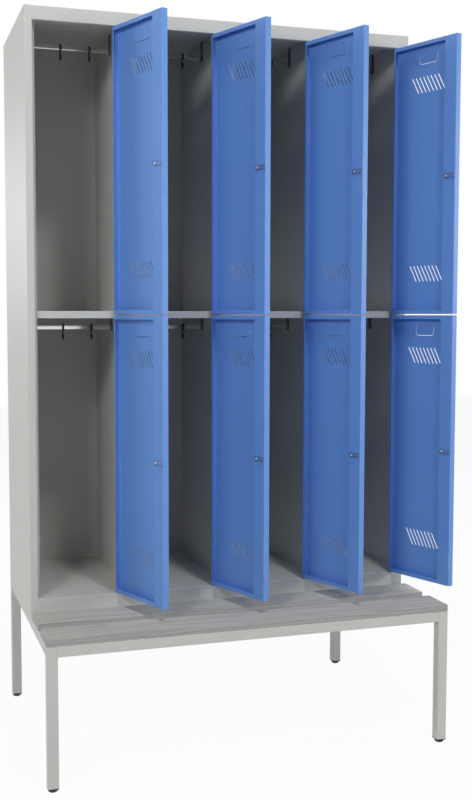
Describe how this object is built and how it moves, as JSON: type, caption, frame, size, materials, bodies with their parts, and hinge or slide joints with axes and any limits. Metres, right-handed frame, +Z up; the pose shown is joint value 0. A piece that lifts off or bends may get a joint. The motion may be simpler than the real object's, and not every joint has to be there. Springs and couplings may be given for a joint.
{
  "type": "locker with bench",
  "caption": "Tall steel locker with hinged, vented doors on a tube frame whose front carries a slatted bench.",
  "frame": {"origin": "on the ground under the middle of the whole part, its opened doors included", "axes": "+X to the right as one faces the doors, +Y from the doors towards the back, +Z up"},
  "size_m": [1.2575, 0.8, 2.157],
  "materials": {
    "grey_paint": "satin",
    "blue_paint": "satin",
    "bright_steel": "polished",
    "cam_steel": "satin",
    "black_plastic": "matte",
    "grey_wood": "stained and lacquered"
  },
  "bodies": {
    "cabinet": {"side_left": "grey_paint", "side_right": "grey_paint", "partition_1": "grey_paint", "partition_2": "grey_paint", "partition_3": "grey_paint", "roof_panel": "grey_paint", "floor_panel": "grey_paint", "back_panel": "grey_paint", "shelf_1": "grey_paint", "shelf_2": "grey_paint", "shelf_3": "grey_paint", "shelf_4": "grey_paint", "base_frame": "grey_paint", "foot_front_left": "black_plastic", "foot_front_right": "black_plastic", "foot_rear_left": "black_plastic", "foot_rear_right": "black_plastic", "plank_front": "grey_wood", "plank_rear": "grey_wood", "rail_1_lower": "bright_steel", "rail_1_upper": "bright_steel", "rail_2_lower": "bright_steel", "rail_2_upper": "bright_steel", "rail_3_lower": "bright_steel", "rail_3_upper": "bright_steel", "rail_4_lower": "bright_steel", "rail_4_upper": "bright_steel"},
    "door_1_lower": {"door_1_lower": "blue_paint"},
    "lock_cam_1_lower": {"lock_cam_1_lower": "cam_steel"},
    "hook_1_lower_left": {"hook_1_lower_left": "black_plastic"},
    "hook_1_lower_right": {"hook_1_lower_right": "black_plastic"},
    "door_1_upper": {"door_1_upper": "blue_paint"},
    "lock_cam_1_upper": {"lock_cam_1_upper": "cam_steel"},
    "hook_1_upper_left": {"hook_1_upper_left": "black_plastic"},
    "hook_1_upper_right": {"hook_1_upper_right": "black_plastic"},
    "door_2_lower": {"door_2_lower": "blue_paint"},
    "lock_cam_2_lower": {"lock_cam_2_lower": "cam_steel"},
    "hook_2_lower_left": {"hook_2_lower_left": "black_plastic"},
    "hook_2_lower_right": {"hook_2_lower_right": "black_plastic"},
    "door_2_upper": {"door_2_upper": "blue_paint"},
    "lock_cam_2_upper": {"lock_cam_2_upper": "cam_steel"},
    "hook_2_upper_left": {"hook_2_upper_left": "black_plastic"},
    "hook_2_upper_right": {"hook_2_upper_right": "black_plastic"},
    "door_3_lower": {"door_3_lower": "blue_paint"},
    "lock_cam_3_lower": {"lock_cam_3_lower": "cam_steel"},
    "hook_3_lower_left": {"hook_3_lower_left": "black_plastic"},
    "hook_3_lower_right": {"hook_3_lower_right": "black_plastic"},
    "door_3_upper": {"door_3_upper": "blue_paint"},
    "lock_cam_3_upper": {"lock_cam_3_upper": "cam_steel"},
    "hook_3_upper_left": {"hook_3_upper_left": "black_plastic"},
    "hook_3_upper_right": {"hook_3_upper_right": "black_plastic"},
    "door_4_lower": {"door_4_lower": "blue_paint"},
    "lock_cam_4_lower": {"lock_cam_4_lower": "cam_steel"},
    "hook_4_lower_left": {"hook_4_lower_left": "black_plastic"},
    "hook_4_lower_right": {"hook_4_lower_right": "black_plastic"},
    "door_4_upper": {"door_4_upper": "blue_paint"},
    "lock_cam_4_upper": {"lock_cam_4_upper": "cam_steel"},
    "hook_4_upper_left": {"hook_4_upper_left": "black_plastic"},
    "hook_4_upper_right": {"hook_4_upper_right": "black_plastic"}
  },
  "joints": [
    {"name": "door_1_lower_hinge", "type": "hinge", "parent": "cabinet", "child": "door_1_lower", "pos_m": [-0.3588, -0.0955, 0.4575], "axis": [0, 0, 1], "range_deg": [-110, 0]},
    {"name": "lock_cam_1_lower_turn", "type": "hinge", "parent": "door_1_lower", "child": "lock_cam_1_lower", "pos_m": [-0.28663, -0.29378, 0.871], "axis": [-0.9397, -0.342, 0], "range_deg": [0, 90]},
    {"name": "hook_1_lower_left_slide", "type": "slide", "parent": "cabinet", "child": "hook_1_lower_left", "axis": [1, 0, 0], "range_m": [-0.135, 0.084]},
    {"name": "hook_1_lower_right_slide", "type": "slide", "parent": "cabinet", "child": "hook_1_lower_right", "axis": [1, 0, 0], "range_m": [-0.084, 0.058]},
    {"name": "door_1_upper_hinge", "type": "hinge", "parent": "cabinet", "child": "door_1_upper", "pos_m": [-0.3588, -0.0955, 1.2885], "axis": [0, 0, 1], "range_deg": [-110, 0]},
    {"name": "lock_cam_1_upper_turn", "type": "hinge", "parent": "door_1_upper", "child": "lock_cam_1_upper", "pos_m": [-0.28663, -0.29378, 1.702], "axis": [-0.9397, -0.342, 0], "range_deg": [0, 90]},
    {"name": "hook_1_upper_left_slide", "type": "slide", "parent": "cabinet", "child": "hook_1_upper_left", "axis": [1, 0, 0], "range_m": [-0.135, 0.084]},
    {"name": "hook_1_upper_right_slide", "type": "slide", "parent": "cabinet", "child": "hook_1_upper_right", "axis": [1, 0, 0], "range_m": [-0.084, 0.058]},
    {"name": "door_2_lower_hinge", "type": "hinge", "parent": "cabinet", "child": "door_2_lower", "pos_m": [-0.0588, -0.0955, 0.4575], "axis": [0, 0, 1], "range_deg": [-110, 0]},
    {"name": "lock_cam_2_lower_turn", "type": "hinge", "parent": "door_2_lower", "child": "lock_cam_2_lower", "pos_m": [0.01337, -0.29378, 0.871], "axis": [-0.9397, -0.342, 0], "range_deg": [0, 90]},
    {"name": "hook_2_lower_left_slide", "type": "slide", "parent": "cabinet", "child": "hook_2_lower_left", "axis": [1, 0, 0], "range_m": [-0.136, 0.084]},
    {"name": "hook_2_lower_right_slide", "type": "slide", "parent": "cabinet", "child": "hook_2_lower_right", "axis": [1, 0, 0], "range_m": [-0.084, 0.058]},
    {"name": "door_2_upper_hinge", "type": "hinge", "parent": "cabinet", "child": "door_2_upper", "pos_m": [-0.0588, -0.0955, 1.2885], "axis": [0, 0, 1], "range_deg": [-110, 0]},
    {"name": "lock_cam_2_upper_turn", "type": "hinge", "parent": "door_2_upper", "child": "lock_cam_2_upper", "pos_m": [0.01337, -0.29378, 1.702], "axis": [-0.9397, -0.342, 0], "range_deg": [0, 90]},
    {"name": "hook_2_upper_left_slide", "type": "slide", "parent": "cabinet", "child": "hook_2_upper_left", "axis": [1, 0, 0], "range_m": [-0.136, 0.084]},
    {"name": "hook_2_upper_right_slide", "type": "slide", "parent": "cabinet", "child": "hook_2_upper_right", "axis": [1, 0, 0], "range_m": [-0.084, 0.058]},
    {"name": "door_3_lower_hinge", "type": "hinge", "parent": "cabinet", "child": "door_3_lower", "pos_m": [0.2412, -0.0955, 0.4575], "axis": [0, 0, 1], "range_deg": [-110, 0]},
    {"name": "lock_cam_3_lower_turn", "type": "hinge", "parent": "door_3_lower", "child": "lock_cam_3_lower", "pos_m": [0.31337, -0.29378, 0.871], "axis": [-0.9397, -0.342, 0], "range_deg": [0, 90]},
    {"name": "hook_3_lower_left_slide", "type": "slide", "parent": "cabinet", "child": "hook_3_lower_left", "axis": [1, 0, 0], "range_m": [-0.136, 0.084]},
    {"name": "hook_3_lower_right_slide", "type": "slide", "parent": "cabinet", "child": "hook_3_lower_right", "axis": [1, 0, 0], "range_m": [-0.084, 0.058]},
    {"name": "door_3_upper_hinge", "type": "hinge", "parent": "cabinet", "child": "door_3_upper", "pos_m": [0.2412, -0.0955, 1.2885], "axis": [0, 0, 1], "range_deg": [-110, 0]},
    {"name": "lock_cam_3_upper_turn", "type": "hinge", "parent": "door_3_upper", "child": "lock_cam_3_upper", "pos_m": [0.31337, -0.29378, 1.702], "axis": [-0.9397, -0.342, 0], "range_deg": [0, 90]},
    {"name": "hook_3_upper_left_slide", "type": "slide", "parent": "cabinet", "child": "hook_3_upper_left", "axis": [1, 0, 0], "range_m": [-0.136, 0.084]},
    {"name": "hook_3_upper_right_slide", "type": "slide", "parent": "cabinet", "child": "hook_3_upper_right", "axis": [1, 0, 0], "range_m": [-0.084, 0.058]},
    {"name": "door_4_lower_hinge", "type": "hinge", "parent": "cabinet", "child": "door_4_lower", "pos_m": [0.5412, -0.0955, 0.4575], "axis": [0, 0, 1], "range_deg": [-110, 0]},
    {"name": "lock_cam_4_lower_turn", "type": "hinge", "parent": "door_4_lower", "child": "lock_cam_4_lower", "pos_m": [0.61337, -0.29378, 0.871], "axis": [-0.9397, -0.342, 0], "range_deg": [0, 90]},
    {"name": "hook_4_lower_left_slide", "type": "slide", "parent": "cabinet", "child": "hook_4_lower_left", "axis": [1, 0, 0], "range_m": [-0.136, 0.084]},
    {"name": "hook_4_lower_right_slide", "type": "slide", "parent": "cabinet", "child": "hook_4_lower_right", "axis": [1, 0, 0], "range_m": [-0.084, 0.057]},
    {"name": "door_4_upper_hinge", "type": "hinge", "parent": "cabinet", "child": "door_4_upper", "pos_m": [0.5412, -0.0955, 1.2885], "axis": [0, 0, 1], "range_deg": [-110, 0]},
    {"name": "lock_cam_4_upper_turn", "type": "hinge", "parent": "door_4_upper", "child": "lock_cam_4_upper", "pos_m": [0.61337, -0.29378, 1.702], "axis": [-0.9397, -0.342, 0], "range_deg": [0, 90]},
    {"name": "hook_4_upper_left_slide", "type": "slide", "parent": "cabinet", "child": "hook_4_upper_left", "axis": [1, 0, 0], "range_m": [-0.136, 0.084]},
    {"name": "hook_4_upper_right_slide", "type": "slide", "parent": "cabinet", "child": "hook_4_upper_right", "axis": [1, 0, 0], "range_m": [-0.084, 0.057]}
  ]
}
